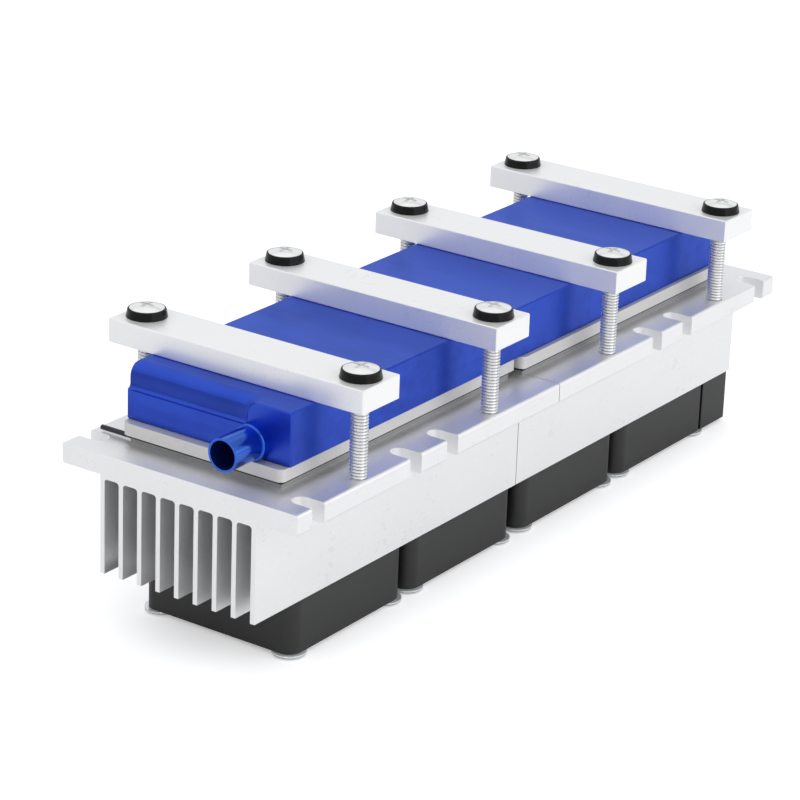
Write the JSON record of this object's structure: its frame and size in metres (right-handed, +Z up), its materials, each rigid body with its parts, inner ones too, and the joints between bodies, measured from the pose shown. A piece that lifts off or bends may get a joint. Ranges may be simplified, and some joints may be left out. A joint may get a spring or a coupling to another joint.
{
  "type": "thermoelectric cooling module",
  "caption": "Water block clamped by bars onto flat cooling modules and finned heat sinks, cooled by fans from below.",
  "frame": {"origin": "on the surface that the module stands on, below the middle of its footprint", "axes": "+Z up; +X along the module from the inlet end to the outlet end; +Y across it"},
  "size_m": [0.3888, 0.133, 0.1303],
  "materials": {
    "bare_aluminium": "brushed",
    "plate_aluminium": "satin",
    "blue_anodised": "satin anodised",
    "fan_black": "satin moulded",
    "rotor_black": "satin moulded",
    "washer_black": "gloss",
    "bright_steel": "plated",
    "plated_steel": "zinc plated",
    "shaft_steel": "ground",
    "stator_steel": "laminated",
    "magnet_dark": "bonded magnet",
    "bronze": "sintered",
    "ceramic_white": "matte ceramic",
    "seal_foam": "closed-cell foam",
    "lead_black": "satin"
  },
  "bodies": {
    "module": {"fan_frame_1": "fan_black", "fan_bearing_1": "bronze", "fan_stator_1": "stator_steel", "fan_screws_1": "plated_steel", "fan_frame_2": "fan_black", "fan_bearing_2": "bronze", "fan_stator_2": "stator_steel", "fan_screws_2": "plated_steel", "fan_frame_3": "fan_black", "fan_bearing_3": "bronze", "fan_stator_3": "stator_steel", "fan_screws_3": "plated_steel", "fan_frame_4": "fan_black", "fan_bearing_4": "bronze", "fan_stator_4": "stator_steel", "fan_screws_4": "plated_steel", "fan_washers": "plated_steel", "wiring_cover": "fan_black", "heat_sink_near": "bare_aluminium", "heat_sink_far": "bare_aluminium", "cold_plate_near": "plate_aluminium", "module_seal_near": "seal_foam", "cold_plate_far": "plate_aluminium", "module_seal_far": "seal_foam", "cooling_module_1": "ceramic_white", "cooling_module_2": "ceramic_white", "cooling_module_3": "ceramic_white", "cooling_module_4": "ceramic_white", "cooling_module_5": "ceramic_white", "cooling_module_6": "ceramic_white", "cooling_module_7": "ceramic_white", "cooling_module_8": "ceramic_white", "module_lead": "lead_black", "water_block": "blue_anodised", "inlet_pipe": "blue_anodised", "outlet_pipe": "blue_anodised", "clamp_bar_1": "bare_aluminium", "cup_washers_1": "washer_black", "clamp_screws_1": "bright_steel", "clamp_bar_2": "bare_aluminium", "cup_washers_2": "washer_black", "clamp_screws_2": "bright_steel", "clamp_bar_3": "bare_aluminium", "cup_washers_3": "washer_black", "clamp_screws_3": "bright_steel", "clamp_bar_4": "bare_aluminium", "cup_washers_4": "washer_black", "clamp_screws_4": "bright_steel"},
    "fan_1_rotor": {"fan_rotor_1": "rotor_black", "fan_shaft_1": "shaft_steel", "fan_magnet_1": "magnet_dark"},
    "fan_2_rotor": {"fan_rotor_2": "rotor_black", "fan_shaft_2": "shaft_steel", "fan_magnet_2": "magnet_dark"},
    "fan_3_rotor": {"fan_rotor_3": "rotor_black", "fan_shaft_3": "shaft_steel", "fan_magnet_3": "magnet_dark"},
    "fan_4_rotor": {"fan_rotor_4": "rotor_black", "fan_shaft_4": "shaft_steel", "fan_magnet_4": "magnet_dark"}
  },
  "joints": [
    {"name": "fan_1_spin", "type": "hinge", "parent": "module", "child": "fan_1_rotor", "pos_m": [-0.1255, 0, 0.015], "axis": [0, 0, 1], "continuous": true},
    {"name": "fan_2_spin", "type": "hinge", "parent": "module", "child": "fan_2_rotor", "pos_m": [-0.0405, 0, 0.015], "axis": [0, 0, 1], "continuous": true},
    {"name": "fan_3_spin", "type": "hinge", "parent": "module", "child": "fan_3_rotor", "pos_m": [0.0465, 0, 0.015], "axis": [0, 0, 1], "continuous": true},
    {"name": "fan_4_spin", "type": "hinge", "parent": "module", "child": "fan_4_rotor", "pos_m": [0.1315, 0, 0.015], "axis": [0, 0, 1], "continuous": true}
  ]
}
